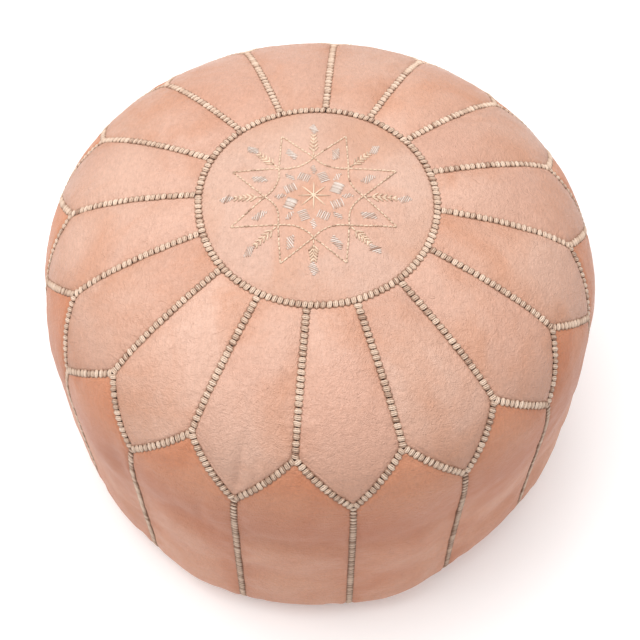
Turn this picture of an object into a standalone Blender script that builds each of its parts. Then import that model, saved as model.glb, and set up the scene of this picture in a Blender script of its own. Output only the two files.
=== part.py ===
"""Round leather floor pouf: a domed disc, sixteen petals and sixteen side panels sewn over a stuffed bag.

Metres, +Z up. The origin is the middle of the base, on the floor. One seam between two petals lies
on the +Y axis, and the zip in the base runs along X.
"""

import math

import bmesh
import bpy
import numpy as np
from mathutils import Vector

# Outer form
DIAMETER = 0.540
HEIGHT = 0.350
BELLY_HEIGHT = 0.150
CROWN_ROUNDNESS = 1.80
CROWN_SQUARENESS = 4.92
FOOT_RADIUS = 0.220
FOOT_HEIGHT = 0.050
FOOT_ROUNDNESS = 2.2

# Cut of the leather
SEGMENTS = 16
DISC_RADIUS = 0.1087
SHOULDER_RADIUS = 0.2337
TIP_RADIUS = 0.2624
BASE_SEAM_RADIUS = 0.243
LEATHER = 0.0018
SEAM_GAP = 0.0010
BASE_GAP = 0.0026
VALLEY = 0.0015
CROWN = 0.0015

# Stitching
BAND_HALF_WIDTH = 0.004
BAND_THICKNESS = 0.0010
BAND_CLEARANCE = 0.0011
STAR_RADIUS = 0.080
STAR_VALLEY_RADIUS = 0.047
STAR_POINTS = 8
STAR_TURN = math.radians(26.9)
STAR_HALF_WIDTH = 0.0010
STAR_THICKNESS = 0.0006

# Inside
LINER_INSET = 0.0080
LINER_THICKNESS = 0.0008
LINER_FLOOR = 0.0105
LINER_MOUTH_RADIUS = 0.080
STUFFING_INSET = 0.0095
STUFFING_FLOOR = 0.0120
INSIDE_STEPS = 24

# Zip
ZIP_HEIGHT = 0.0061
ZIP_HALF_LENGTH = 0.150
ZIP_OPENING = 0.0065
RECESS_DEPTH = 0.0036
CENTRE_SEAM_DEPTH = 0.0026
TAPE_INNER = 0.0032
TAPE_OUTER = 0.0170
TAPE_THICKNESS = 0.0006
TOOTH_PITCH = 0.005
TOOTH_WIDTH = 0.0015
TOOTH_REACH = 0.0006
TOOTH_ROOT = 0.0022
SPINE_OUTER = 0.0029
CHAIN_THICKNESS = 0.0022
SLIDER_X = 0.125
SLIDER_TRAVEL = 0.250
SLIDER_HALF_LENGTH = 0.0055
PLATE_GAP = 0.0014
PLATE_THICKNESS = 0.0010
BRIDGE_GAP = 0.0019
BRIDGE_THICKNESS = 0.0010
TAB_LENGTH = 0.028
TAB_THICKNESS = 0.0012

# Colours, linear RGB
PEACH = (0.72, 0.40, 0.27)
ROSE_TAN = (0.64, 0.33, 0.21)
HONEY_TAN = (0.58, 0.31, 0.19)
CREAM_THREAD = (0.74, 0.60, 0.45)
TAPE_COLOUR = (0.42, 0.28, 0.18)
BRASS = (0.62, 0.47, 0.22)
CALICO = (0.78, 0.73, 0.62)
WADDING = (0.85, 0.83, 0.78)

RADIUS = DIAMETER / 2
STEP = 2 * math.pi / SEGMENTS
CENTRE = Vector((0, 0, BELLY_HEIGHT))
COLUMNS = 4
PETAL_ROWS = 7
SIDE_ROWS = 7


# ---------------------------------------------------------------- outline of the half section


def half_section():
    """(radius, height) points from the top centre, round the belly, to the middle of the base."""
    turn = (math.pi / 2) * np.linspace(1, 0, 300) ** 2.5
    crown_r = RADIUS * np.cos(turn) ** (2 / CROWN_ROUNDNESS)
    crown_z = BELLY_HEIGHT + (HEIGHT - BELLY_HEIGHT) * np.sin(turn) ** (2 / CROWN_SQUARENESS)
    crown_r[0] = 0.0
    wall_z = np.linspace(BELLY_HEIGHT, FOOT_HEIGHT, 12)[1:-1]
    wall_r = np.full(len(wall_z), RADIUS)
    turn = np.linspace(0, math.pi / 2, 120)
    foot_r = FOOT_RADIUS + (RADIUS - FOOT_RADIUS) * np.cos(turn) ** (2 / FOOT_ROUNDNESS)
    foot_z = FOOT_HEIGHT * (1 - np.sin(turn) ** (2 / FOOT_ROUNDNESS))
    flat_r = np.linspace(FOOT_RADIUS, 0, 20)[1:]
    flat_z = np.zeros(len(flat_r))
    radii = np.concatenate([crown_r, wall_r, foot_r, flat_r])
    heights = np.concatenate([crown_z, wall_z, foot_z, flat_z])
    return radii, heights


SECTION_R, SECTION_Z = half_section()
SECTION_S = np.concatenate([[0], np.cumsum(np.hypot(np.diff(SECTION_R), np.diff(SECTION_Z)))])
TANGENT_R = np.gradient(SECTION_R, SECTION_S)
TANGENT_Z = np.gradient(SECTION_Z, SECTION_S)
WIDEST = int(np.argmax(SECTION_R))


def run_at_radius(radius, under=False):
    """Length along the section from the top centre to this radius, above or under the belly."""
    if under:
        return float(np.interp(-radius, -SECTION_R[WIDEST:], SECTION_S[WIDEST:]))
    return float(np.interp(radius, SECTION_R[:WIDEST], SECTION_S[:WIDEST]))


def section(run, lift=0.0):
    """(radius, height) at this length along the section, moved outward by lift."""
    tangent = np.array([np.interp(run, SECTION_S, TANGENT_R), np.interp(run, SECTION_S, TANGENT_Z)])
    tangent /= np.linalg.norm(tangent)
    radius = np.interp(run, SECTION_S, SECTION_R) - tangent[1] * lift
    height = np.interp(run, SECTION_S, SECTION_Z) + tangent[0] * lift
    return float(radius), float(height)


def on_skin(azimuth, run, lift=0.0):
    radius, height = section(run, lift)
    return Vector((radius * math.cos(azimuth), radius * math.sin(azimuth), height))


RUN_DISC = run_at_radius(DISC_RADIUS)
RUN_SHOULDER = run_at_radius(SHOULDER_RADIUS)
RUN_TIP = run_at_radius(TIP_RADIUS)
RUN_BASE = run_at_radius(BASE_SEAM_RADIUS, under=True)


# ---------------------------------------------------------------- helpers


def fresh_collections():
    """Clears the scene, and makes the pouf's collection and one for its helper shapes."""
    for old in list(bpy.data.objects):
        bpy.data.objects.remove(old, do_unlink=True)
    made = []
    for name in ("leather_pouf", "helpers"):
        collection = bpy.data.collections.new(name)
        bpy.context.scene.collection.children.link(collection)
        made.append(collection)
    return made


PARTS, HELPERS = fresh_collections()


def material(name, colour, roughness, metallic=0.0):
    made = bpy.data.materials.new(name)
    made.use_nodes = True
    shader = made.node_tree.nodes["Principled BSDF"]
    shader.inputs["Base Color"].default_value = (*colour, 1)
    shader.inputs["Roughness"].default_value = roughness
    shader.inputs["Metallic"].default_value = metallic
    return made


def new_part(name, mesh, colour, roughness, metallic=0.0):
    part = bpy.data.objects.new(name, mesh)
    PARTS.objects.link(part)
    mesh.materials.append(material(name, colour, roughness, metallic))
    return part


def smooth(part, degrees=40):
    part.data.shade_smooth()
    part.data.set_sharp_from_angle(angle=math.radians(degrees))


def sheet_mesh(name, patches):
    """One open sheet from grids. Each patch is (columns, rows, place), where place(u, v) takes 0 to 1."""
    sheet = bmesh.new()
    for columns, rows, place in patches:
        grid = bmesh.new()
        bmesh.ops.create_grid(grid, x_segments=columns, y_segments=rows, size=0.5)
        for vert in grid.verts:
            vert.co = place(vert.co.x + 0.5, vert.co.y + 0.5)
        grid.normal_update()
        facing = sum(face.normal.dot(face.calc_center_median() - CENTRE) for face in grid.faces)
        if facing < 0:
            bmesh.ops.reverse_faces(grid, faces=grid.faces)
        piece = bpy.data.meshes.new("patch")
        grid.to_mesh(piece)
        grid.free()
        sheet.from_mesh(piece)
        bpy.data.meshes.remove(piece)
    bmesh.ops.remove_doubles(sheet, verts=sheet.verts, dist=1e-5)
    mesh = bpy.data.meshes.new(name)
    sheet.to_mesh(mesh)
    sheet.free()
    return mesh


def thicken(part, thickness, outward):
    solidify = part.modifiers.new("thickness", "SOLIDIFY")
    solidify.thickness = thickness
    solidify.offset = 1 if outward else -1
    solidify.use_even_offset = True


def leather_panel(name, columns, rows, place, colour):
    panel = new_part(name, sheet_mesh(name, [(columns, rows, place)]), colour, 0.45)
    thicken(panel, LEATHER, outward=False)
    smooth(panel)
    return panel


def blend(low, high, share):
    return low + (high - low) * share


def ease(share):
    """0 to 1 with level ends."""
    share = min(max(share, 0.0), 1.0)
    return share * share * (3 - 2 * share)


def crowned(across, along):
    """Lift of a panel: in the valley at its edges, full in its middle. across is -1 to 1, along 0 to 1."""
    return (VALLEY + CROWN) * (1 - across**2) * (1 - (2 * along - 1) ** 4) - VALLEY


# ---------------------------------------------------------------- leather


def top_disc():
    """A domed round of leather, turned."""
    profile = bmesh.new()
    outer = RUN_DISC - SEAM_GAP / 2
    runs = [0.0, 0.25 * outer, 0.5 * outer, 0.72 * outer, 0.90 * outer, outer]
    lifts = [CROWN, CROWN, CROWN, CROWN * 0.6, -VALLEY * 0.4, -VALLEY]
    last = None
    for run, lift in zip(runs, lifts):
        radius, height = section(run, lift)
        vert = profile.verts.new((radius, 0, height))
        if last:
            profile.edges.new((last, vert))
        last = vert
    mesh = bpy.data.meshes.new("top_disc")
    profile.to_mesh(mesh)
    profile.free()
    disc = new_part("top_disc", mesh, PEACH, 0.45)
    turn = disc.modifiers.new("turn", "SCREW")
    turn.steps = SEGMENTS * 2
    turn.render_steps = turn.steps
    turn.use_merge_vertices = True
    turn.merge_threshold = 0.00005
    thicken(disc, LEATHER, outward=False)
    smooth(disc)


def zigzag_run(across):
    """The petals' lower edge. across is 0 under a petal's middle and 1 on the seam beside it."""
    return blend(RUN_TIP, RUN_SHOULDER, abs(across))


def petal_panels():
    """Sixteen petals from the disc out over the shoulder, each ending in a point."""
    for number in range(SEGMENTS):
        middle = math.pi / 2 - (number + 0.5) * STEP

        def place(u, v):
            across = 2 * u - 1
            run = blend(RUN_DISC + SEAM_GAP / 2, zigzag_run(across) - SEAM_GAP * 0.75, v)
            half = STEP / 2 - SEAM_GAP / 2 / section(run)[0]
            return on_skin(middle + across * half, run, crowned(across, v))

        name = f"petal_panel_{number + 1:02d}"
        leather_panel(name, COLUMNS, PETAL_ROWS, place, PEACH if number % 2 else ROSE_TAN)


def side_panels():
    """Sixteen five-sided panels, each rising to a point between two petals and running under the belly."""
    for number in range(SEGMENTS):
        middle = math.pi / 2 - number * STEP

        def place(u, v):
            across = 2 * u - 1
            run = blend(zigzag_run(1 - abs(across)) + SEAM_GAP * 0.75, RUN_BASE - BASE_GAP / 2, v)
            half = STEP / 2 - SEAM_GAP / 2 / section(run)[0]
            return on_skin(middle + across * half, run, crowned(across, v))

        name = f"side_panel_{number + 1:02d}"
        leather_panel(name, COLUMNS, SIDE_ROWS, place, ROSE_TAN if number % 2 else HONEY_TAN)


def base_lift(x, y):
    """How far the base leather is drawn up, beside the zip and along the sewn ends of its seam."""
    past_zip = ease((abs(x) - ZIP_HALF_LENGTH - 0.008) / 0.030)
    depth = blend(RECESS_DEPTH, CENTRE_SEAM_DEPTH, past_zip)
    return depth * (1 - ease((abs(y) - TAPE_OUTER) / 0.030))


def base_edge(x):
    """Distance of the base leather's straight edge from the X axis: wide at the zip, closed past it."""
    shut = ease((abs(x) - ZIP_HALF_LENGTH - 0.004) / 0.012)
    return blend(ZIP_OPENING, SEAM_GAP / 2, shut)


def base_panels():
    """Two half rounds that meet along X, with the zip between their edges."""
    rim_run = RUN_BASE + BASE_GAP / 2
    rim_radius = section(rim_run)[0]
    outer_columns = [rim_radius - 0.002, 0.200, 0.172]
    inner_columns = list(np.linspace(-ZIP_HALF_LENGTH, ZIP_HALF_LENGTH, 11))
    edge_columns = [-x for x in outer_columns] + inner_columns + outer_columns[::-1]
    first_angle = SEAM_GAP / 2 / rim_radius
    columns, rows = len(edge_columns) - 1, 8

    def rim(share):
        angle = math.pi - blend(first_angle, math.pi - first_angle, share)
        return Vector((rim_radius * math.cos(angle), rim_radius * math.sin(angle)))

    def straight(share):
        x = edge_columns[round(share * columns)]
        return Vector((x, base_edge(x)))

    def flat_place(u, v):
        """A four-sided patch: the straight edge, a quarter of the rim each side, and the half between."""
        left, right = rim(v / 4), rim(1 - v / 4)
        low, high = straight(u), rim(0.25 + u / 2)
        corners = (1 - u) * (1 - v) * straight(0) + u * (1 - v) * straight(1)
        corners += (1 - u) * v * rim(0.25) + u * v * rim(0.75)
        return (1 - v) * low + v * high + (1 - u) * left + u * right - corners

    for name, side in (("base_panel_rear", 1), ("base_panel_front", -1)):

        def place(u, v):
            flat = flat_place(u, v)
            radius = min(flat.length, rim_radius)
            near_rim = ease((radius - FOOT_RADIUS - 0.008) / 0.012)
            run = run_at_radius(radius, under=True)
            height = section(run, -VALLEY * near_rim)[1]
            height = max(height, base_lift(flat.x, flat.y) * (1 - near_rim))
            return Vector((flat.x, side * flat.y, height))

        leather_panel(name, columns, rows, place, HONEY_TAN)


# ---------------------------------------------------------------- stitching


def band(name, patches, thickness=BAND_THICKNESS):
    stitching = new_part(name, sheet_mesh(name, patches), CREAM_THREAD, 0.8)
    thicken(stitching, thickness, outward=True)
    return stitching


def band_point(azimuth, run, aside=0.0):
    """A point of a band on its seam, moved aside along the circle by a distance in metres."""
    return on_skin(azimuth + aside / section(run)[0], run, BAND_CLEARANCE - VALLEY)


def crown_patches(seam):
    """One petal's share: the ring over its seam, the ring to the next seam, and the arm down the seam."""
    inner, outer = RUN_DISC - BAND_HALF_WIDTH, RUN_DISC + BAND_HALF_WIDTH
    half_angle = BAND_HALF_WIDTH / section(outer)[0]
    arm_end = RUN_SHOULDER - 0.009

    def over_seam(u, v):
        return band_point(seam + (2 * u - 1) * half_angle, blend(inner, outer, v))

    def to_next(u, v):
        return band_point(seam + blend(half_angle, STEP - half_angle, u), blend(inner, outer, v))

    def arm(u, v):
        run = min(max(blend(RUN_DISC, RUN_SHOULDER, v), outer), arm_end)
        return band_point(seam, run, (2 * u - 1) * half_angle * section(outer)[0])

    return [(1, 1, over_seam), (3, 1, to_next), (1, PETAL_ROWS, arm)]


def crown_stitching():
    """A ring round the disc with sixteen arms down the petals' seams, sewn in one run."""
    patches = []
    for number in range(SEGMENTS):
        patches += crown_patches(math.pi / 2 - number * STEP)
    band("crown_stitching", patches)


def skirt_patches(tip):
    """One petal's share: the zigzag under its point and up both sides, and the leg below the point."""
    rise = BAND_HALF_WIDTH * 1.4
    half_angle = BAND_HALF_WIDTH / TIP_RADIUS
    leg_end = RUN_BASE - 0.008

    def zigzag(angle, v):
        return band_point(tip + angle, zigzag_run(angle / (STEP / 2)) + blend(-rise, rise, v))

    def across_tip(u, v):
        return zigzag((2 * u - 1) * half_angle, v)

    def up_left(u, v):
        return zigzag(blend(half_angle, STEP / 2, u), v)

    def up_right(u, v):
        return zigzag(-blend(half_angle, STEP / 2, u), v)

    def leg(u, v):
        start = zigzag_run(half_angle / (STEP / 2)) + rise
        run = min(max(blend(RUN_TIP, RUN_BASE, v), start), leg_end)
        return band_point(tip, run, (2 * u - 1) * half_angle * section(start)[0])

    return [(1, 1, across_tip), (2, 1, up_left), (2, 1, up_right), (1, SIDE_ROWS, leg)]


def skirt_stitching():
    """A zigzag round the shoulder with sixteen legs down the side panels' seams."""
    patches = []
    for number in range(SEGMENTS):
        patches += skirt_patches(math.pi / 2 - (number + 0.5) * STEP)
    band("skirt_stitching", patches)


def base_ring_stitching():
    """The ring that joins the side panels to the base."""

    def ring(u, v):
        run = RUN_BASE + blend(-BAND_HALF_WIDTH, BAND_HALF_WIDTH, v)
        return band_point(2 * math.pi * u, run)

    band("base_ring_stitching", [(SEGMENTS * COLUMNS, 1, ring)])


def base_centre_stitching():
    """The sewn ends of the base's middle seam, past each end of the zip."""
    underside = CENTRE_SEAM_DEPTH - 0.0004
    for name, side in (("base_seam_stitching_left", -1), ("base_seam_stitching_right", 1)):

        def strip(u, v):
            x = side * blend(ZIP_HALF_LENGTH + 0.020, FOOT_RADIUS - 0.004, u)
            return Vector((x, blend(-BAND_HALF_WIDTH, BAND_HALF_WIDTH, v) * 0.8, underside))

        band(name, [(4, 1, strip)])


def star_embroidery():
    """The outline of an eight-pointed star worked in thread on the disc."""
    corners = 2 * STAR_POINTS
    pieces = 2

    def outline_radius(turn):
        """Straight sides between points and valleys, measured from the middle of the disc."""
        corner = turn * corners
        start = math.floor(corner)
        ends = []
        for index in (start, start + 1):
            radius = STAR_RADIUS if index % 2 == 0 else STAR_VALLEY_RADIUS
            angle = math.pi * index / STAR_POINTS
            ends.append(Vector((radius * math.cos(angle), radius * math.sin(angle))))
        return ends[0].lerp(ends[1], corner - start)

    def outline(u, v):
        flat = outline_radius(u if u < 1 else 0.0)
        flat *= (flat.length + blend(-STAR_HALF_WIDTH, STAR_HALF_WIDTH, v) * 2) / flat.length
        azimuth = math.atan2(flat.y, flat.x) + STAR_TURN
        run = run_at_radius(flat.length)
        return on_skin(azimuth, run, CROWN + 0.0005)

    band("star_embroidery", [(corners * pieces, 1, outline)], STAR_THICKNESS)


# ---------------------------------------------------------------- inside


def inside_form(name, inset, floor, mouth, thickness, colour):
    """A turned bag that follows the leather from inside. With a thickness it is a skin with a mouth."""
    profile = bmesh.new()
    points = []
    for run in np.linspace(0, RUN_BASE - 0.010, 13):
        radius, height = section(run, -inset)
        points.append((max(radius, 0.0), max(height, floor)))
    points[0] = (0.0, points[0][1])
    points.append((FOOT_RADIUS - 0.004 - inset, floor))
    points.append((mouth, floor))
    last = None
    for radius, height in points:
        vert = profile.verts.new((radius, 0, height))
        if last:
            profile.edges.new((last, vert))
        last = vert
    mesh = bpy.data.meshes.new(name)
    profile.to_mesh(mesh)
    profile.free()
    form = new_part(name, mesh, colour, 0.9)
    turn = form.modifiers.new("turn", "SCREW")
    turn.steps = INSIDE_STEPS
    turn.render_steps = INSIDE_STEPS
    turn.use_merge_vertices = True
    turn.merge_threshold = 0.00005
    if thickness:
        thicken(form, thickness, outward=False)
    smooth(form)


# ---------------------------------------------------------------- zip


def flat_solid(name, outlines, thickness, collection):
    """A mesh object of this thickness, centred on its plane, from closed outlines; later ones are holes."""
    curve = bpy.data.curves.new(name, "CURVE")
    curve.dimensions = "2D"
    curve.fill_mode = "BOTH"
    curve.extrude = thickness / 2
    for points in outlines:
        spline = curve.splines.new("POLY")
        spline.points.add(len(points) - 1)
        for point, (x, y) in zip(spline.points, points):
            point.co = (x, y, 0, 1)
        spline.use_cyclic_u = True
    drawn = bpy.data.objects.new(name + "_outline", curve)
    HELPERS.objects.link(drawn)
    bpy.context.view_layer.update()
    graph = bpy.context.evaluated_depsgraph_get()
    mesh = bpy.data.meshes.new_from_object(drawn.evaluated_get(graph))
    mesh.name = name
    bpy.data.objects.remove(drawn, do_unlink=True)
    bpy.data.curves.remove(curve)
    weld = bmesh.new()
    weld.from_mesh(mesh)
    bmesh.ops.remove_doubles(weld, verts=weld.verts, dist=1e-6)
    bmesh.ops.recalc_face_normals(weld, faces=weld.faces)
    weld.to_mesh(mesh)
    weld.free()
    mesh.materials.clear()
    made = bpy.data.objects.new(name, mesh)
    collection.objects.link(made)
    return made


def rectangle(x0, x1, y0, y1):
    return [(x0, y0), (x1, y0), (x1, y1), (x0, y1)]


def metal(part):
    part.data.materials.append(material(part.name, BRASS, 0.35, 1.0))


def zip_tapes():
    """Two woven tapes, sewn behind the base leather's straight edges."""
    for name, side in (("zip_tape_rear", 1), ("zip_tape_front", -1)):
        inner, outer = sorted((side * TAPE_INNER, side * TAPE_OUTER))
        outline = rectangle(-ZIP_HALF_LENGTH, ZIP_HALF_LENGTH, inner, outer)
        tape = flat_solid(name, [outline], TAPE_THICKNESS, PARTS)
        tape.location.z = ZIP_HEIGHT
        tape.data.materials.append(material(name, TAPE_COLOUR, 0.85))


def zip_teeth():
    """A toothed strip on each tape. The teeth of one lie midway between those of the other."""
    first_x = -SLIDER_TRAVEL / 2 - 0.003
    last_x = SLIDER_X
    count = int((last_x - first_x) / TOOTH_PITCH)
    for name, side, shift in (("zip_teeth_rear", 1, 0.0), ("zip_teeth_front", -1, 0.5)):
        outline = [(last_x, side * SPINE_OUTER), (first_x, side * SPINE_OUTER)]
        outline.append((first_x, side * TOOTH_ROOT))
        for tooth in range(count):
            x = first_x + (tooth + shift + 0.35) * TOOTH_PITCH
            near, far = x - TOOTH_WIDTH / 2, x + TOOTH_WIDTH / 2
            outline += [(near, side * TOOTH_ROOT), (near, -side * TOOTH_REACH)]
            outline += [(far, -side * TOOTH_REACH), (far, side * TOOTH_ROOT)]
        outline.append((last_x, side * TOOTH_ROOT))
        strip = flat_solid(name, [outline], CHAIN_THICKNESS, PARTS)
        strip.location.z = ZIP_HEIGHT
        metal(strip)


def zip_stops():
    """Small clamped stops: one on each tape at the closed end, and one across both at the open end."""
    closed_x = SLIDER_X + SLIDER_HALF_LENGTH + 0.0008
    open_x = SLIDER_X - SLIDER_TRAVEL - SLIDER_HALF_LENGTH - 0.0038
    shapes = (
        ("zip_top_stop_rear", rectangle(closed_x, closed_x + 0.003, 0.0016, SPINE_OUTER)),
        ("zip_top_stop_front", rectangle(closed_x, closed_x + 0.003, -SPINE_OUTER, -0.0016)),
        ("zip_bottom_stop", rectangle(open_x, open_x + 0.003, -SPINE_OUTER, SPINE_OUTER)),
    )
    for name, outline in shapes:
        stop = flat_solid(name, [outline], CHAIN_THICKNESS + 0.0004, PARTS)
        stop.location.z = ZIP_HEIGHT
        metal(stop)


def slider_pieces():
    """Outlines of the slider's pieces: (name, outline, thickness, height above the chain)."""
    back, front = -SLIDER_HALF_LENGTH, SLIDER_HALF_LENGTH
    shield = [(back, -0.0040), (back + 0.0008, -0.0044), (0.0005, -0.0044), (front - 0.0020, -0.0050)]
    shield += [(front - 0.0006, -0.0042), (front, -0.0020)]
    shield += [(x, -y) for x, y in reversed(shield)]
    wedge = [(0.0012, 0), (0.0032, -0.0013), (front - 0.0004, -0.0008)]
    wedge += [(x, -y) for x, y in reversed(wedge[1:])]
    plate_height = PLATE_GAP + PLATE_THICKNESS / 2
    pieces = [("plate_inner", shield, PLATE_THICKNESS, plate_height)]
    pieces.append(("wedge", wedge, 2 * PLATE_GAP + PLATE_THICKNESS, 0))
    lip_height = PLATE_GAP + PLATE_THICKNESS / 2 - 0.0005
    for side in (-1, 1):
        low, high = sorted((side * 0.0033, side * 0.0042))
        for up in (-1, 1):
            lip = rectangle(back + 0.0006, 0.0008, low, high)
            pieces.append((f"lip_{side}_{up}", lip, 0.0016, up * lip_height))
    bridge_drop = PLATE_GAP + PLATE_THICKNESS + BRIDGE_GAP
    bar = rectangle(-0.0045, 0.0045, -0.0012, 0.0012)
    pieces.append(("bridge_bar", bar, BRIDGE_THICKNESS, -bridge_drop - BRIDGE_THICKNESS / 2))
    leg_height = -(PLATE_GAP + PLATE_THICKNESS / 2 + bridge_drop + BRIDGE_THICKNESS / 2) / 2
    leg_length = bridge_drop + BRIDGE_THICKNESS / 2 - PLATE_GAP - PLATE_THICKNESS / 2
    for x in (-0.0040, 0.0040):
        leg = rectangle(x - 0.0004, x + 0.0004, -0.0010, 0.0010)
        pieces.append((f"leg_{x}", leg, leg_length, leg_height))
    return shield, plate_height, pieces


def zip_slider():
    """Two plates joined by a wedge, lips that hold the chain, and a bridge for the pull tab."""
    shield, plate_height, pieces = slider_pieces()
    slider = flat_solid("zip_slider", [shield], PLATE_THICKNESS, PARTS)
    for vert in slider.data.vertices:
        vert.co.z -= plate_height
    slider.location = (SLIDER_X, 0, ZIP_HEIGHT)
    joined = bpy.data.collections.new("slider_pieces")
    HELPERS.children.link(joined)
    for name, outline, thickness, height in pieces:
        piece = flat_solid("slider_" + name, [outline], thickness, joined)
        piece.location = (SLIDER_X, 0, ZIP_HEIGHT + height)
        piece.hide_render = True
        piece.display_type = "WIRE"
    union = slider.modifiers.new("union", "BOOLEAN")
    union.operation = "UNION"
    union.operand_type = "COLLECTION"
    union.collection = joined
    metal(slider)
    return slider


def zip_pull_tab(slider):
    """A flat tab whose loop goes round the slider's bridge. Its origin is on the hinge's axis."""
    drop = PLATE_GAP + PLATE_THICKNESS + BRIDGE_GAP / 2
    outer = [(0.0006, -0.0030), (0.0006, 0.0030), (-0.0064, 0.0030), (-0.0085, 0.0021)]
    outer += [(-0.0110, 0.0021), (-0.0150, 0.0034), (-TAB_LENGTH + 0.0020, 0.0040), (-TAB_LENGTH, 0.0024)]
    outer += [(x, -y) for x, y in reversed(outer[2:])]
    hole = rectangle(-0.0058, -0.0006, -0.0019, 0.0019)
    tab = flat_solid("zip_pull_tab", [outer, hole], TAB_THICKNESS, PARTS)
    tab.parent = slider
    tab.location = (0, 0, -drop)
    metal(tab)


# ---------------------------------------------------------------- the whole pouf

top_disc()
petal_panels()
side_panels()
base_panels()
crown_stitching()
skirt_stitching()
base_ring_stitching()
base_centre_stitching()
star_embroidery()
inside_form("inner_liner_bag", LINER_INSET, LINER_FLOOR, LINER_MOUTH_RADIUS, LINER_THICKNESS, CALICO)
inside_form("stuffing_core", STUFFING_INSET, STUFFING_FLOOR, 0.0, 0.0, WADDING)
zip_tapes()
zip_teeth()
zip_stops()
zip_pull_tab(zip_slider())
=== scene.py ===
"""A round leather pouf: the detailed visual model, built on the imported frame."""

import math

import bpy
import numpy as np
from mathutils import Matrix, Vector


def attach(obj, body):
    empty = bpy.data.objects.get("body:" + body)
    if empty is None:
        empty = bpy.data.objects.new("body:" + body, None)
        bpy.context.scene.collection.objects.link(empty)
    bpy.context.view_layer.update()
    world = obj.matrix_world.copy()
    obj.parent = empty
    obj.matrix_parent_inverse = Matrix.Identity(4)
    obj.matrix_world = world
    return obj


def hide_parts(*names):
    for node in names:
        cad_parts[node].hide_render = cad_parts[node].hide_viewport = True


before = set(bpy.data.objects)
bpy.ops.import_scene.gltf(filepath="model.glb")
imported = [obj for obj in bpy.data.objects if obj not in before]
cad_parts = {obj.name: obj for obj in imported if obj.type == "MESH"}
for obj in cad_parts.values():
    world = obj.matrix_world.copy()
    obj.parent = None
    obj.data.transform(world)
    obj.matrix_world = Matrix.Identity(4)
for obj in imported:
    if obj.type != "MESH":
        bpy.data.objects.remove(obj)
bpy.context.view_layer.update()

TAU = 2 * math.pi
MM = 0.001

# Outline and seams, in metres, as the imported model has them
SEGMENTS = 16
STEP = TAU / SEGMENTS
RADIUS = 0.270
HEIGHT = 0.350
BELLY_HEIGHT = 0.150
CROWN_ROUNDNESS = 1.80
CROWN_SQUARENESS = 4.92
FOOT_RADIUS = 0.220
FOOT_HEIGHT = 0.050
FOOT_ROUNDNESS = 2.2
DISC_RADIUS = 0.1087
SHOULDER_RADIUS = 0.2337
TIP_RADIUS = 0.2624
BASE_SEAM_RADIUS = 0.243
LEATHER = 0.0018
HALF_GAP = 0.0005

# Zip, along X in the base
ZIP_HEIGHT = 0.0061
ZIP_HALF_LENGTH = 0.150
ZIP_OPENING = 0.0065
RECESS_DEPTH = 0.0036
CENTRE_SEAM_DEPTH = 0.0026
TAPE_INNER = 0.0024
TAPE_OUTER = 0.0170
CHAIN_START = -0.119
CHAIN_END = 0.125
TOOTH_PITCH = 0.0025

# Where the hand-filled pouf is less than round: azimuth and half width in degrees, the share of radius lost
# (less than 0 where it bulges), and the height where the loss ends, full at SLUMP_DEPTH below that
SLUMPS = (
    (195.0, 26.0, 0.022, 0.60),
    (100.0, 34.0, 0.010, 0.60),
    (-47.0, 18.0, 0.027, 0.26),
    (-67.0, 12.0, -0.012, 0.19),
    (-108.0, 12.0, -0.010, 0.19),
    (-132.0, 21.0, 0.019, 0.22),
)
SLUMP_DEPTH = 0.15
# The share of radius lost all round under the shoulder, its middle height and half height
TAKE_IN = (0.007, 0.215, 0.070)

# Cloth and relief
COARSE = 16
PETAL_STEPS = 22
SIDE_STEPS = 34
FINE_COLUMNS = 65
FINE_PETAL_ROWS = 97
FINE_SIDE_ROWS = 151
SEAM_LIFT = -0.2 * MM
CLOTH_CAP = 6 * MM
SOFTENING = 2
GROOVE_DEPTH = 1.5 * MM
GROOVE_WIDTH = 2.6 * MM


# ---- outline


def half_section():
    """(radius, height) points from the top centre, round the belly, to the middle of the base."""
    turn = (math.pi / 2) * np.linspace(1, 0, 300) ** 2.5
    crown_r = RADIUS * np.cos(turn) ** (2 / CROWN_ROUNDNESS)
    crown_z = BELLY_HEIGHT + (HEIGHT - BELLY_HEIGHT) * np.sin(turn) ** (2 / CROWN_SQUARENESS)
    crown_r[0] = 0.0
    wall_z = np.linspace(BELLY_HEIGHT, FOOT_HEIGHT, 12)[1:-1]
    wall_r = np.full(len(wall_z), RADIUS)
    turn = np.linspace(0, math.pi / 2, 120)
    foot_r = FOOT_RADIUS + (RADIUS - FOOT_RADIUS) * np.cos(turn) ** (2 / FOOT_ROUNDNESS)
    foot_z = FOOT_HEIGHT * (1 - np.sin(turn) ** (2 / FOOT_ROUNDNESS))
    flat_r = np.linspace(FOOT_RADIUS, 0, 20)[1:]
    flat_z = np.zeros(len(flat_r))
    radii = np.concatenate([crown_r, wall_r, foot_r, flat_r])
    heights = np.concatenate([crown_z, wall_z, foot_z, flat_z])
    return radii, heights


SECTION_R, SECTION_Z = half_section()
SECTION_S = np.concatenate([[0], np.cumsum(np.hypot(np.diff(SECTION_R), np.diff(SECTION_Z)))])
TANGENT_R = np.gradient(SECTION_R, SECTION_S)
TANGENT_Z = np.gradient(SECTION_Z, SECTION_S)
WIDEST = int(np.argmax(SECTION_R))


def run_at_radius(radius, under=False):
    """Length along the section from the top centre to this radius, above or under the belly."""
    if under:
        return np.interp(-np.asarray(radius), -SECTION_R[WIDEST:], SECTION_S[WIDEST:])
    return np.interp(radius, SECTION_R[:WIDEST], SECTION_S[:WIDEST])


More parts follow.
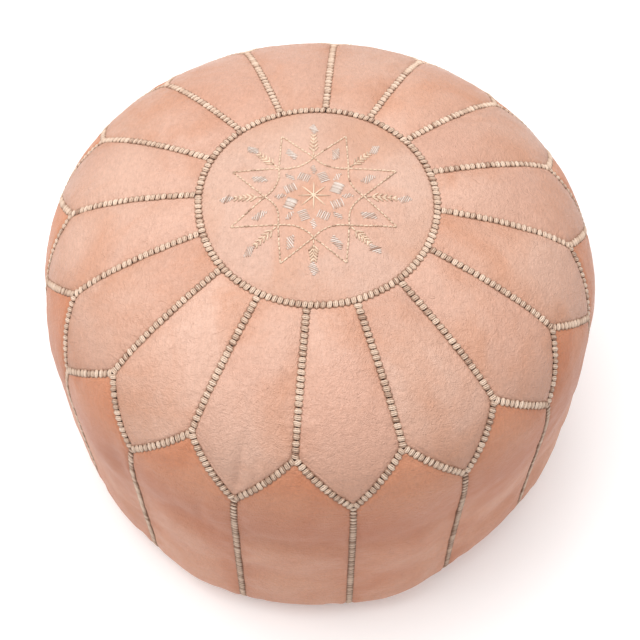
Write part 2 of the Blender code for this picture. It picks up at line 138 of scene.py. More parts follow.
def section(run):
    """Radius, height, and the outward normal's two parts, along the section."""
    along_r = np.interp(run, SECTION_S, TANGENT_R)
    along_z = np.interp(run, SECTION_S, TANGENT_Z)
    length = np.hypot(along_r, along_z)
    radius = np.interp(run, SECTION_S, SECTION_R)
    height = np.interp(run, SECTION_S, SECTION_Z)
    return radius, height, -along_z / length, along_r / length


def turned(azimuth, radius, height):
    """Points from an azimuth, a radius and a height."""
    azimuth, radius, height = np.broadcast_arrays(azimuth, radius, height)
    return np.stack([radius * np.cos(azimuth), radius * np.sin(azimuth), height], -1)


def settled(azimuth, height):
    """How much of its radius the hand-filled pouf keeps at an azimuth and height."""
    lost, middle, half_height = TAKE_IN
    share = 1.0 - lost * bell(height - middle, half_height)
    for degrees, width, loss, top in SLUMPS:
        aside = np.angle(np.exp(1j * (azimuth - math.radians(degrees))))
        below = np.clip((top - height) / SLUMP_DEPTH, 0, 1)
        share = share - loss * below * np.exp(-((aside / math.radians(width)) ** 2))
    return share


def skin(azimuth, run, lift=0.0):
    """Points and outward normals on the pouf's outline, moved outward by lift."""
    radius, height, normal_r, normal_z = section(run)
    radius, height = radius + normal_r * lift, height + normal_z * lift
    points = turned(azimuth, radius * settled(azimuth, height), height)
    return points, turned(azimuth, normal_r, normal_z)


RUN_DISC = float(run_at_radius(DISC_RADIUS))
RUN_SHOULDER = float(run_at_radius(SHOULDER_RADIUS))
RUN_TIP = float(run_at_radius(TIP_RADIUS))
RUN_BASE = float(run_at_radius(BASE_SEAM_RADIUS, under=True))
ZIGZAG_SLOPE = (RUN_TIP - RUN_SHOULDER) / (STEP / 2 * (SHOULDER_RADIUS + TIP_RADIUS) / 2)
ZIGZAG_COSINE = 1 / math.hypot(1, ZIGZAG_SLOPE)


# ---- numbers


def blend(low, high, share):
    return low + (high - low) * share


def ease(share):
    """0 to 1 with level ends."""
    share = np.clip(share, 0.0, 1.0)
    return share * share * (3 - 2 * share)


def bell(distance, width):
    return np.exp(-((distance / width) ** 2))


def unit(vectors):
    return vectors / np.linalg.norm(vectors, axis=-1, keepdims=True)


def waves(points, seed, shortest, longest, count=28):
    """A smooth random field over points, mostly between -1 and 1, from sine waves of many directions."""
    draw = np.random.default_rng(seed)
    total = np.zeros(points.shape[:-1])
    for _ in range(count):
        direction = unit(draw.normal(size=3))
        length = math.exp(draw.uniform(math.log(shortest), math.log(longest)))
        total += np.sin(points @ direction * (TAU / length) + draw.uniform(0, TAU))
    return total / math.sqrt(count) / 1.6


def cubic_weights(count, places):
    """Catmull-Rom weights that read a line of count samples at places from 0 to 1."""
    at = np.asarray(places) * (count - 1)
    left = np.clip(np.floor(at).astype(int), 0, count - 2)
    t = at - left
    basis = (
        (-t + 2 * t**2 - t**3) / 2,
        (2 - 5 * t**2 + 3 * t**3) / 2,
        (t + 4 * t**2 - 3 * t**3) / 2,
        (-(t**2) + t**3) / 2,
    )
    weights = np.zeros((len(at), count + 2))
    for step, value in enumerate(basis):
        weights[np.arange(len(at)), left + step] += value
    weights[:, 1] += 2 * weights[:, 0]
    weights[:, 2] -= weights[:, 0]
    weights[:, count] += 2 * weights[:, count + 1]
    weights[:, count - 1] -= weights[:, count + 1]
    return weights[:, 1:-1]


def edge_dense(count, pull=0.84):
    """Numbers from -1 to 1, closer together towards both ends."""
    even = np.linspace(-1, 1, count)
    return np.sin(even * pull * math.pi / 2) / math.sin(pull * math.pi / 2)


# ---- meshes and materials


def make_mesh(name, points, quads, attributes=None):
    """A mesh object from arrays of points and four-cornered faces, with named values per point."""
    points = np.ascontiguousarray(points.reshape(-1, 3), dtype=np.float32)
    quads = np.ascontiguousarray(quads, dtype=np.int32)
    mesh = bpy.data.meshes.new(name)
    mesh.vertices.add(len(points))
    mesh.vertices.foreach_set("co", points.ravel())
    mesh.loops.add(quads.size)
    mesh.loops.foreach_set("vertex_index", quads.ravel())
    mesh.polygons.add(len(quads))
    mesh.polygons.foreach_set("loop_start", np.arange(0, quads.size, 4, dtype=np.int32))
    mesh.update(calc_edges=True)
    mesh.validate()
    mesh.shade_smooth()
    for key, values in (attributes or {}).items():
        layer = mesh.attributes.new(key, "FLOAT", "POINT")
        values = np.broadcast_to(values, (len(points),)) if np.ndim(values) == 0 else values
        layer.data.foreach_set("value", np.ascontiguousarray(values, dtype=np.float32).ravel())
    made = bpy.data.objects.new(name, mesh)
    bpy.context.scene.collection.objects.link(made)
    return made


def grid_quads(rows, columns, closed=False):
    """Faces of a grid of points, turned outward for columns that run anticlockwise and rows that run down."""
    index = np.arange(rows * columns).reshape(rows, columns)
    if closed:
        index = np.hstack([index, index[:, :1]])
    corners = (index[:-1, :-1], index[1:, :-1], index[1:, 1:], index[:-1, 1:])
    return np.stack(corners, -1).reshape(-1, 4)


def fan_quads(rim, middle):
    """Faces that close a ring of points, even in number and anticlockwise, round a middle point."""
    first = np.arange(0, len(rim), 2)
    corners = (np.full(len(first), middle), rim[first], rim[first + 1], rim[(first + 2) % len(rim)])
    return np.stack(corners, -1)


def dress(piece, material, replaced):
    piece.data.materials.append(material)
    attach(piece, "pouf")
    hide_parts(replaced)


def thicken(piece, thickness=LEATHER):
    solidify = piece.modifiers.new("thickness", "SOLIDIFY")
    solidify.thickness = thickness
    solidify.offset = -1
    solidify.use_even_offset = False


class Shader:
    """A material with one Principled shader, and short calls for the nodes that drive it."""

    def __init__(self, name, **constants):
        self.material = bpy.data.materials.new(name)
        self.material.use_nodes = True
        self.tree = self.material.node_tree
        self.surface = self.tree.nodes["Principled BSDF"]
        for key, value in constants.items():
            self.surface.inputs[key.replace("_", " ")].default_value = value
        self.place = self.node("ShaderNodeTexCoord").outputs["Object"]

    def node(self, kind, inputs=None, **settings):
        made = self.tree.nodes.new(kind)
        for key, value in settings.items():
            setattr(made, key, value)
        for key, value in (inputs or {}).items():
            if isinstance(value, bpy.types.NodeSocket):
                self.tree.links.new(value, made.inputs[key])
            else:
                made.inputs[key].default_value = value
        return made

    def maths(self, operation, first, second=0.0):
        return self.node("ShaderNodeMath", {0: first, 1: second}, operation=operation).outputs[0]

    def times(self, first, second):
        return self.maths("MULTIPLY", first, second)

    def attribute(self, name):
        return self.node("ShaderNodeAttribute", attribute_name=name).outputs["Fac"]

    def noise(self, scale, detail=3.0, roughness=0.5, distortion=0.0, place=None):
        inputs = {"Vector": place or self.place, "Scale": scale, "Detail": detail}
        inputs |= {"Roughness": roughness, "Distortion": distortion}
        return self.node("ShaderNodeTexNoise", inputs).outputs["Fac"]

    def cells(self, scale, place):
        return self.node("ShaderNodeTexVoronoi", {"Vector": place, "Scale": scale}).outputs["Distance"]

    def stretch(self, scale, place=None):
        inputs = {"Vector": place or self.place, "Scale": scale}
        return self.node("ShaderNodeMapping", inputs).outputs["Vector"]

    def ramp(self, value, low, high, start=0.0, end=1.0):
        inputs = {"Value": value, "From Min": low, "From Max": high, "To Min": start, "To Max": end}
        return self.node("ShaderNodeMapRange", inputs, clamp=True).outputs[0]

    def mix(self, share, first, second, kind="MIX"):
        made = self.node("ShaderNodeMix", data_type="RGBA", blend_type=kind)
        for index, value in ((0, share), (6, first), (7, second)):
            if isinstance(value, bpy.types.NodeSocket):
                self.tree.links.new(value, made.inputs[index])
            else:
                made.inputs[index].default_value = value if index == 0 else (*value, 1)
        return made.outputs[2]

    def scaled(self, colour, factor):
        """A colour times a value."""
        grey = self.node("ShaderNodeCombineColor", {0: factor, 1: factor, 2: factor}).outputs[0]
        return self.mix(1.0, colour, grey, "MULTIPLY")

    def shifted(self, name):
        """Object coordinates moved by a value of the piece, so that no two panels share a pattern."""
        far = self.times(self.attribute(name), 7.0)
        move = self.node("ShaderNodeCombineXYZ", {0: far, 1: far, 2: far}).outputs[0]
        return self.node("ShaderNodeVectorMath", {0: self.place, 1: move}, operation="ADD").outputs[0]

    def colour(self, socket):
        self.tree.links.new(socket, self.surface.inputs["Base Color"])

    def rough(self, socket):
        self.tree.links.new(socket, self.surface.inputs["Roughness"])

    def bumps(self, *layers):
        """Relief from (height socket, depth in metres) pairs, one on another."""
        normal = None
        for height, depth in layers:
            inputs = {"Height": height, "Distance": depth, "Strength": 1.0}
            if normal:
                inputs["Normal"] = normal
            normal = self.node("ShaderNodeBump", inputs).outputs["Normal"]
        self.tree.links.new(normal, self.surface.inputs["Normal"])


SPECK_COLOUR = (0.20, 0.09, 0.05)
# Painted shade in the seam grooves
SEAM_SHADE_COLOUR = (0.31, 0.150, 0.088)
# Painted shade where the thread enters the leather
THREAD_ROOT_SHADE = (0.25, 0.125, 0.075)


def leather(name, pale, deep, warm):
    """Natural vegetable-tanned leather: clouded tone, marbling, pores, fine wrinkles, painted shade in the
    seam grooves, and a darker warm tone: painted shade round the zigzag on the panels, the leather's own tan
    on the disc.
    """
    shader = Shader(name)
    place = shader.shifted("patch")
    cloud = shader.ramp(shader.noise(5.5, 2.0, 0.5, 0.4, place), 0.36, 0.64)
    blotch = shader.ramp(shader.noise(10.0, 4.0, 0.55, 0.8, place), 0.44, 0.68)
    tone = shader.mix(shader.times(cloud, 0.62), pale, deep)
    tone = shader.mix(shader.times(blotch, 0.58), tone, warm)
    veins = shader.maths("ABSOLUTE", shader.maths("SUBTRACT", shader.noise(46.0, 4.0, 0.6, 1.6, place), 0.5))
    vein_share = shader.ramp(veins, 0.0, 0.030, 0.08, 0.0)
    tone = shader.mix(vein_share, tone, tuple(0.62 * part for part in deep))
    fleck = shader.noise(210.0, 4.0, 0.7, 0.3, place)
    hatch = shader.noise(1.0, 3.0, 0.65, 0.6, shader.stretch((560.0, 190.0, 300.0), place))
    grain = shader.maths("ADD", shader.times(fleck, 0.3), shader.times(hatch, 0.7))
    tone = shader.scaled(tone, shader.ramp(grain, 0.38, 0.62, 0.92, 1.065))
    specks = shader.ramp(shader.cells(62.0, place), 0.0, 0.035, 0.26, 0.0)
    tone = shader.mix(specks, tone, SPECK_COLOUR)
    edge = shader.times(shader.attribute("edge"), shader.ramp(blotch, 0.0, 1.0, 0.6, 1.0))
    tone = shader.mix(shader.times(edge, 0.30), tone, tuple(0.80 * part for part in warm))
    # Painted shade round the zigzag on the panels, and the leather's own tan on the disc, both in a darker
    # warm tone
    shade_and_tan_share = shader.times(shader.attribute("painted_shade_and_tan"), shader.ramp(cloud, 0.0, 1.0, 0.7, 1.2))
    tone = shader.mix(shade_and_tan_share, tone, tuple(0.92 * part for part in warm))
    # Painted shade in the seam grooves, under and between the stitches
    seam = shader.ramp(shader.attribute("seam"), 0.30, 0.62, 0.0, 0.88)
    tone = shader.mix(seam, tone, SEAM_SHADE_COLOUR)
    shader.colour(shader.scaled(tone, shader.attribute("tone")))
    shader.rough(shader.ramp(shader.noise(20.0, 4.0, 0.6, 0.5, place), 0.3, 0.7, 0.36, 0.52))
    pores = shader.ramp(shader.cells(640.0, place), 0.0, 0.7)
    wrinkles = shader.noise(1.0, 5.0, 0.62, 1.8, shader.stretch((110.0, 110.0, 190.0), place))
    shader.bumps((wrinkles, 0.0012), (hatch, 0.00040), (pores, 0.00020))
    return shader.material


def thread(name, pale, deep, roughness, sheen):
    """Thread whose value tone runs from pale at 1 to deep at 0, and to shadow below that."""
    shader = Shader(name, Sheen_Weight=sheen)
    tone = shader.mix(shader.attribute("tone"), deep, pale)
    shadow = shader.ramp(shader.attribute("tone"), -0.45, 0.02, 0.90, 0.0)
    tone = shader.mix(shadow, tone, THREAD_ROOT_SHADE)
    fibres = shader.noise(2600.0, 2.0, 0.7)
    shader.colour(shader.scaled(tone, shader.ramp(fibres, 0.3, 0.7, 0.88, 1.08)))
    shader.rough(shader.ramp(fibres, 0.3, 0.7, roughness - 0.08, roughness + 0.08))
    shader.bumps((fibres, 0.00016),)
    return shader.material


def woven(name, pale, deep, pitch, roughness=0.85):
    """Plain weave of warp and weft at the given thread pitch."""
    shader = Shader(name, Sheen_Weight=0.15)
    inputs = {"Vector": shader.place, "Scale": 0.314 / pitch}
    warp = shader.node("ShaderNodeTexWave", inputs, bands_direction="X").outputs["Fac"]
    weft = shader.node("ShaderNodeTexWave", inputs, bands_direction="Y").outputs["Fac"]
    cloth = shader.times(warp, weft)
    slub = shader.noise(160.0, 4.0, 0.6)
    tone = shader.mix(shader.ramp(slub, 0.3, 0.7), deep, pale)
    shader.colour(shader.scaled(tone, shader.ramp(cloth, 0.0, 0.8, 0.70, 1.05)))
    shader.rough(shader.ramp(slub, 0.3, 0.7, roughness - 0.06, roughness + 0.06))
    shader.bumps((cloth, 0.00030), (slub, 0.00040))
    return shader.material


def brass(name):
    shader = Shader(name, Metallic=1.0)
    wear = shader.noise(240.0, 4.0, 0.65, 0.5)
    tone = shader.mix(shader.ramp(wear, 0.38, 0.66), (0.43, 0.27, 0.10), (0.76, 0.56, 0.27))
    shader.colour(tone)
    shader.rough(shader.ramp(wear, 0.35, 0.65, 0.42, 0.24))
    scratches = shader.noise(1.0, 3.0, 0.7, 0.2, shader.stretch((300.0, 3200.0, 3200.0)))
    shader.bumps((scratches, 0.00005), (wear, 0.00008))
    return shader.material


def wadding(name):
    shader = Shader(name, Sheen_Weight=0.3)
    tufts = shader.noise(90.0, 6.0, 0.7, 1.5)
    shader.colour(shader.mix(shader.ramp(tufts, 0.3, 0.7), (0.62, 0.58, 0.50), (0.86, 0.84, 0.79)))
    shader.rough(shader.ramp(tufts, 0.3, 0.7, 0.85, 0.97))
    shader.bumps((tufts, 0.0030), (shader.noise(900.0, 3.0, 0.7), 0.0006))
    return shader.material


PETAL_LEATHER = leather("petal_leather", (0.605, 0.375, 0.285), (0.535, 0.285, 0.202), (0.52, 0.232, 0.128))
DISC_LEATHER = leather("disc_leather", (0.600, 0.395, 0.308), (0.540, 0.310, 0.230), (0.53, 0.260, 0.155))
SIDE_LEATHER = leather("side_leather", (0.640, 0.310, 0.190), (0.555, 0.222, 0.118), (0.51, 0.170, 0.074))
BASE_LEATHER = leather("base_leather", (0.560, 0.285, 0.190), (0.480, 0.215, 0.135), (0.47, 0.175, 0.095))
SEAM_THREAD = thread("seam_thread", (0.90, 0.735, 0.600), (0.60, 0.430, 0.320), 0.72, 0.15)
STAR_THREAD = thread("embroidery_thread", (0.90, 0.715, 0.545), (0.64, 0.465, 0.335), 0.60, 0.12)
SATIN_THREAD = thread("satin_thread", (0.88, 0.82, 0.775), (0.60, 0.49, 0.42), 0.36, 0.15)


# ---- cloth


def coarse_ring():
    """Azimuth, run and pinning of the coarse skin from the disc's ring to the base's ring."""
    columns = np.arange(SEGMENTS * COARSE)
    azimuth = math.pi / 2 - columns * STEP / COARSE
    from_seam = np.abs((columns + COARSE // 2) % COARSE - COARSE // 2) / (COARSE // 2)
    zigzag = blend(RUN_SHOULDER, RUN_TIP, from_seam)
    petal = blend(RUN_DISC, zigzag, np.linspace(0, 1, PETAL_STEPS + 1)[:, None])
    side = blend(zigzag, RUN_BASE, np.linspace(0, 1, SIDE_STEPS + 1)[1:, None])
    run = np.vstack([petal, side])
    pinned = np.zeros(run.shape, bool)
    pinned[[0, PETAL_STEPS, -1]] = True
    pinned[:PETAL_STEPS, from_seam == 0] = True
    pinned[PETAL_STEPS:, from_seam == 1] = True
    return azimuth, run, pinned


CLOTH_STEPS = 20
CLOTH = {
    "quality": 6,
    "mass": 0.4,
    "tension_stiffness": 18,
    "compression_stiffness": 12,
    "shear_stiffness": 6,
    "bending_stiffness": 1.2,
    "shrink_min": -0.010,
    "use_pressure": True,
    "uniform_pressure_force": 4.0,
    "vertex_group_mass": "seams",
}


def inflate(points, pinned):
    """Blows the coarse skin up from inside, held at every seam, and gives each point's movement."""
    rows, columns = points.shape[:2]
    cloth = make_mesh("inflated_skin", points, grid_quads(rows, columns, closed=True)[:, ::-1])
    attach(cloth, "pouf")
    pins = cloth.vertex_groups.new(name="seams")
    pins.add(np.flatnonzero(pinned).tolist(), 1.0, "REPLACE")
    blow = cloth.modifiers.new("blow", "CLOTH")
    for key, value in CLOTH.items():
        setattr(blow.settings, key, value)
    blow.settings.effector_weights.gravity = 0
    blow.point_cache.frame_start = 1
    blow.point_cache.frame_end = CLOTH_STEPS
    scene = bpy.context.scene
    for step in range(1, CLOTH_STEPS + 1):
        scene.frame_set(step)
    graph = bpy.context.evaluated_depsgraph_get()
    moved = np.empty(points.size, dtype=np.float32)
    cloth.evaluated_get(graph).data.vertices.foreach_get("co", moved)
    scene.frame_set(1)
    mesh = cloth.data
    bpy.data.objects.remove(cloth, do_unlink=True)
    bpy.data.meshes.remove(mesh)
    move = moved.reshape(points.shape).astype(float) - points
    for _ in range(SOFTENING):
        move[1:-1] = (move[:-2] + 2 * move[1:-1] + move[2:]) / 4
        move[pinned] = 0.0
    far = np.linalg.norm(move, axis=-1, keepdims=True)
    return move * np.minimum(1, CLOTH_CAP / np.maximum(far, 1e-9))


def cloth_movement():
    """How far each point of the coarse ring swells, as rows by columns."""
    azimuth, run, pinned = coarse_ring()
    _, normals = skin(azimuth[None, :], run)
    flat, _ = skin(azimuth[None, :], run, SEAM_LIFT)
    swell = np.where(pinned, 0.0, 0.6 * MM)[..., None]
    return inflate(flat + normals * swell, pinned) + normals * swell


MOVEMENT = cloth_movement()


# ---- leather


# Soft dents: azimuth in degrees, then height, half width, half height and depth in millimetres
DENTS = (
    (-101, 283, 5, 20, 3.4),
    (-105, 276, 18, 10, 2.2),
    (-97.5, 279, 4, 16, 1.4),
    (-90, 192, 50, 15, 3.4),
    (-113, 200, 32, 18, 2.6),
    (-108, 225, 6, 22, 2.4),
    (-66, 185, 40, 16, 2.4),
    (-128, 215, 10, 30, 3.4),
    (-124.5, 150, 20, 60, 2.2),
    (-141, 120, 12, 50, 3.6),
    (-152, 170, 18, 60, 2),
    (-96, 120, 60, 18, 2.6),
    (-70, 95, 55, 16, 2.2),
    (-58, 150, 16, 50, 2),
    (-30, 110, 50, 18, 2.4),
    (12, 130, 18, 50, 2.2),
    (47, 100, 55, 18, 2.4),
    (83, 140, 18, 55, 2.2),
    (118, 105, 50, 16, 2.2),
    (160, 130, 16, 55, 2.6),
)


def dents(azimuth, points):
    """Depth of the soft hollows that the filling leaves in the leather."""
    depth = np.zeros(points.shape[:-1])
    for degrees, *sizes in DENTS:
        height, half_width, half_height, deep = (size * MM for size in sizes)
        aside = np.angle(np.exp(1j * (azimuth - math.radians(degrees)))) * RADIUS
        depth += deep * bell(aside, half_width) * bell(points[..., 2] - height, half_height)
    return depth


def relief(points, azimuth, seam_distance, along_seam, number):
    """Lift of the leather over its swollen shape: seam groove, stitch puckers, slow waves and dents."""
    lift = -GROOVE_DEPTH * bell(seam_distance, GROOVE_WIDTH)
    pucker = bell(seam_distance - 5.0 * MM, 3.4 * MM) * np.cos(TAU * along_seam / (5.5 * MM))
    lift += 0.26 * MM * pucker
    open_leather = ease(seam_distance / (22 * MM))
    lift += 0.75 * MM * open_leather * waves(points, 40 + number, 0.045, 0.150)
    lift += 0.22 * MM * open_leather * waves(points, 90 + number, 0.012, 0.034)
    drawn = bell(seam_distance - 9 * MM, 9 * MM)
    lift += 0.38 * MM * drawn * waves(points, 140 + number, 0.010, 0.022)
    return lift - dents(azimuth, points) * ease(seam_distance / (12 * MM))


# Painted shade: a darker, warmer band round the zigzag, where the petals turn down over the sides, deepest at
# the front: its share, middle height and half height
PETAL_PAINTED_SHADE = (0.22, 0.268, 0.022)
SIDE_PAINTED_SHADE = (0.88, 0.215, 0.042)
DEEPEST_SHADE_AZIMUTH = -math.pi / 2
# A darker tan patch on the disc, the leather's own colour: its share, place and half width
DISC_TAN = (0.42, 0.030, 0.078, 0.034)


def panel_values(seam_distance, number, points, painted_shade_and_tan=0.0):
    """Named values per point for the leather's material."""
    draw = np.random.default_rng(700 + number)
    tone = 1.0 + draw.uniform(-0.035, 0.035) + 0.02 * waves(points, 200 + number, 0.06, 0.20)
    return {
        # Where the leather's material paints shade into the seam grooves
        "seam": bell(seam_distance, 3.4 * MM),
        "edge": np.exp(-seam_distance / (13 * MM)),
        "tone": tone,
        # Painted shade round the zigzag on the panels, the leather's own tan on the disc
        "painted_shade_and_tan": painted_shade_and_tan,
        "patch": draw.uniform(0.0, 1.0),
    }


def movement_on(first_row, last_row, first_column, across, along):
    """The cloth's movement over one panel, read between the coarse points."""
    columns = np.arange(first_column, first_column + COARSE + 1) % (SEGMENTS * COARSE)
    coarse = MOVEMENT[first_row : last_row + 1][:, columns[::-1]]
    down = cubic_weights(last_row - first_row + 1, along)
    over = cubic_weights(COARSE + 1, (across + 1) / 2)
    return np.einsum("ri,cj,ijk->rck", down, over, coarse)


def leather_panel(name, number, middle, row_span, rows, material, slot, fill):
    """One panel. Its columns run anticlockwise between its side seams, and its rows down."""
    first_row, last_row = row_span
    across = edge_dense(FINE_COLUMNS)
    along = (edge_dense(rows) + 1) / 2
    over, down = np.meshgrid(across, along)
    is_petal = first_row == 0
    if is_petal:
        low, high = RUN_DISC, blend(RUN_TIP, RUN_SHOULDER, np.abs(over))
    else:
        low, high = blend(RUN_TIP, RUN_SHOULDER, 1 - np.abs(over)), RUN_BASE
    run = blend(low + HALF_GAP, high - HALF_GAP, down)
    radius = section(run)[0]
    half = STEP / 2 - HALF_GAP / radius
    azimuth = middle + over * half
    points, normals = skin(azimuth, run, SEAM_LIFT)
    first_column = round((math.pi / 2 - middle - STEP / 2) / (STEP / COARSE))
    points += movement_on(first_row, last_row, first_column, across, along)
    to_side = (1 - np.abs(over)) * half * radius + HALF_GAP
    to_low = (run - low) * (1 if is_petal else ZIGZAG_COSINE)
    to_high = (high - run) * (ZIGZAG_COSINE if is_petal else 1)
    around = azimuth * radius
    distances = np.stack([to_side, to_low, to_high])
    nearest = np.argmin(distances, axis=0)
    seam_distance = np.min(distances, axis=0)
    along_seam = np.choose(nearest, [run, around, around])
    lift = relief(points, azimuth, seam_distance, along_seam, number)
    points += normals * lift[..., None]
    # Painted shade in a band round the zigzag, deepest at the front
    most, middle_height, half_height = PETAL_PAINTED_SHADE if is_petal else SIDE_PAINTED_SHADE
    painted_shade_and_tan = most * bell(points[..., 2] - middle_height, half_height)
    painted_shade_and_tan *= 0.6 + 0.4 * np.cos(azimuth - DEEPEST_SHADE_AZIMUTH)
    values = panel_values(seam_distance, number, points, painted_shade_and_tan)
    panel = make_mesh(name, points, grid_quads(rows, FINE_COLUMNS), values)
    dress(panel, material, name)
    thicken(panel)


def leather_panels():
    petals = ((0, PETAL_STEPS), FINE_PETAL_ROWS, PETAL_LEATHER, "petal_leather", 0.85)
    sides = ((PETAL_STEPS, PETAL_STEPS + SIDE_STEPS), FINE_SIDE_ROWS, SIDE_LEATHER, "side_leather", 0.8)
    for number in range(SEGMENTS):
        label = f"{number + 1:02d}"
        seam = math.pi / 2 - number * STEP
        leather_panel("petal_panel_" + label, number, seam - STEP / 2, *petals)
        leather_panel("side_panel_" + label, number + SEGMENTS, seam, *sides)


DISC_RINGS = 90
DISC_COLUMNS = 288
DISC_DOME = 2.4 * MM
DISC_PUCKERS = 144


def disc_lift(radius):
    share = np.clip(radius / DISC_RADIUS, 0, 1)
    return SEAM_LIFT + DISC_DOME * (1 - share**2.2) ** 0.9


def disc_surface(x, y):
    """Points and normals on the disc's leather, over flat places x and y."""
    radius, azimuth = np.hypot(x, y), np.arctan2(y, x)
    points, normals = skin(azimuth, run_at_radius(radius), disc_lift(radius))
    lift = 0.55 * MM * waves(points, 11, 0.045, 0.130) * ease((DISC_RADIUS - radius) / (25 * MM))
    return points + normals * lift[..., None], normals


def top_disc():
    """The round of leather in the middle of the top."""
    share = 1 - (1 - np.linspace(0.004, 1, DISC_RINGS)) ** 1.25
    run = share * (RUN_DISC - HALF_GAP)
    radius = section(run)[0]
    azimuth = np.linspace(0, TAU, DISC_COLUMNS, endpoint=False)
    radius, azimuth = np.meshgrid(radius, azimuth, indexing="ij")
    points, normals = disc_surface(radius * np.cos(azimuth), radius * np.sin(azimuth))
    seam_distance = DISC_RADIUS - radius
    lift = -GROOVE_DEPTH * bell(seam_distance, GROOVE_WIDTH)
    lift += 0.14 * MM * bell(seam_distance - 5 * MM, 3.4 * MM) * np.cos(DISC_PUCKERS * azimuth)
    lift += 0.20 * MM * ease(seam_distance / (20 * MM)) * waves(points, 12, 0.012, 0.034)
    points += normals * lift[..., None]
    middle = fan_quads(np.arange(DISC_COLUMNS), DISC_RINGS * DISC_COLUMNS)
    quads = np.vstack([grid_quads(DISC_RINGS, DISC_COLUMNS, closed=True), middle])
    centre = points[0].mean(axis=0, keepdims=True)
    # The disc's tan patch, the leather's own colour
    most, aside, back, half_width = DISC_TAN
    painted_shade_and_tan = most * bell(np.hypot(points[..., 0] - aside, points[..., 1] - back), half_width)
    values = panel_values(seam_distance.ravel(), 40, points.reshape(-1, 3), painted_shade_and_tan.ravel())
    for key in ("seam", "edge", "tone", "painted_shade_and_tan"):
        values[key] = np.append(values[key], values[key][0])
    disc = make_mesh("top_disc", np.vstack([points.reshape(-1, 3), centre]), quads, values)
    dress(disc, DISC_LEATHER, "top_disc")
    thicken(disc)


# ---- stitching


STRAND_RINGS = 11
STRAND_SIDES = 8
STRANDS = 3
# Shares of a stitch's own step along the seam
STRAND_RADIUS = 0.136
STRAND_SPREAD = 0.288
# Where a strand enters the leather, its rise from there, and the middle strand's extra rise
STRAND_ROOT = -1.25 * MM
STRAND_RISE = 2.05 * MM
CROWN_RISE = 0.42 * MM
# Fill, arch and tones (the middle strand's, the painted shade on the outer ones, the variation) of most
# stitches, and of those down the sides, which lie flatter and further apart, with their middle strands
# painted lighter and their outer strands in deeper painted shade
FULL_BUNDLE = (1.0, 1.0, (0.74, 0.22, 0.13))
SIDE_BUNDLE = (0.76, 0.84, (0.90, 0.62, 0.26))
SEAM_HALF_WIDTH = 3.4 * MM
NARROW_HALF_WIDTH = 3.0 * MM


def line_lengths(points):
    """Length from the start of a line to each of its points."""
    return np.concatenate([[0], np.cumsum(np.linalg.norm(np.diff(points, axis=0), axis=1))])


def read_line(at, lengths, values):
    """Values between those of a line's points, at lengths from its start."""
    return np.stack([np.interp(at, lengths, part) for part in values.T], -1)


def tube(path, side, radius, lobes=0.0, twist=0.0):
    """Points of tubes along many paths (paths, rings, 3), with side vectors (paths, 1, 3) across each."""
    along = unit(np.gradient(path, axis=1))
    up = unit(np.cross(along, side))
    across = np.cross(up, along)
    rings, sides = path.shape[1], STRAND_SIDES
    angle = np.arange(sides) * TAU / sides
    swell = 1 + lobes * np.cos(2 * (angle[None, :] - twist * np.linspace(-1, 1, rings)[:, None]))
    size = radius * swell
    size[[0, -1]] *= 0.55
    offset = up[:, :, None] * np.cos(angle)[:, None] + across[:, :, None] * np.sin(angle)[:, None]
    return path[:, :, None] + offset * size[None, :, :, None]


def tube_quads(rings, sides):
    """Faces of one closed tube."""
    body = grid_quads(rings, sides, closed=True)
    cap = np.array([[0, 1, 2, 3], [0, 3, 4, 7], [7, 4, 5, 6]])
    return np.vstack([body, cap, cap[:, ::-1] + (rings - 1) * sides])


def tubes_mesh(name, points, tone, root_shade=0.55):
    """One mesh of many tubes, with a tone for each, painted lighter on top and darker below. Their ends are
    in painted shade, darker by the value rooted.
    """
    count, rings, sides = points.shape[:3]
    each = rings * sides
    quads = tube_quads(rings, sides)
    quads = (quads[None] + (np.arange(count) * each)[:, None, None]).reshape(-1, 4)
    painted_light_from_above = np.cos(np.arange(sides) * TAU / sides)[None, None, :]
    ends = np.linspace(-1, 1, rings)[None, :, None] ** 2
    # Painted light and shade: lighter on each tube's top, darker on its underside, and painted shade at both
    # ends where it enters the leather
    tone = np.clip(tone[:, None, None] + 0.34 * painted_light_from_above - 0.12 - root_shade * ends, -0.5, 1)
    return make_mesh(name, points, quads, {"tone": tone.ravel()})


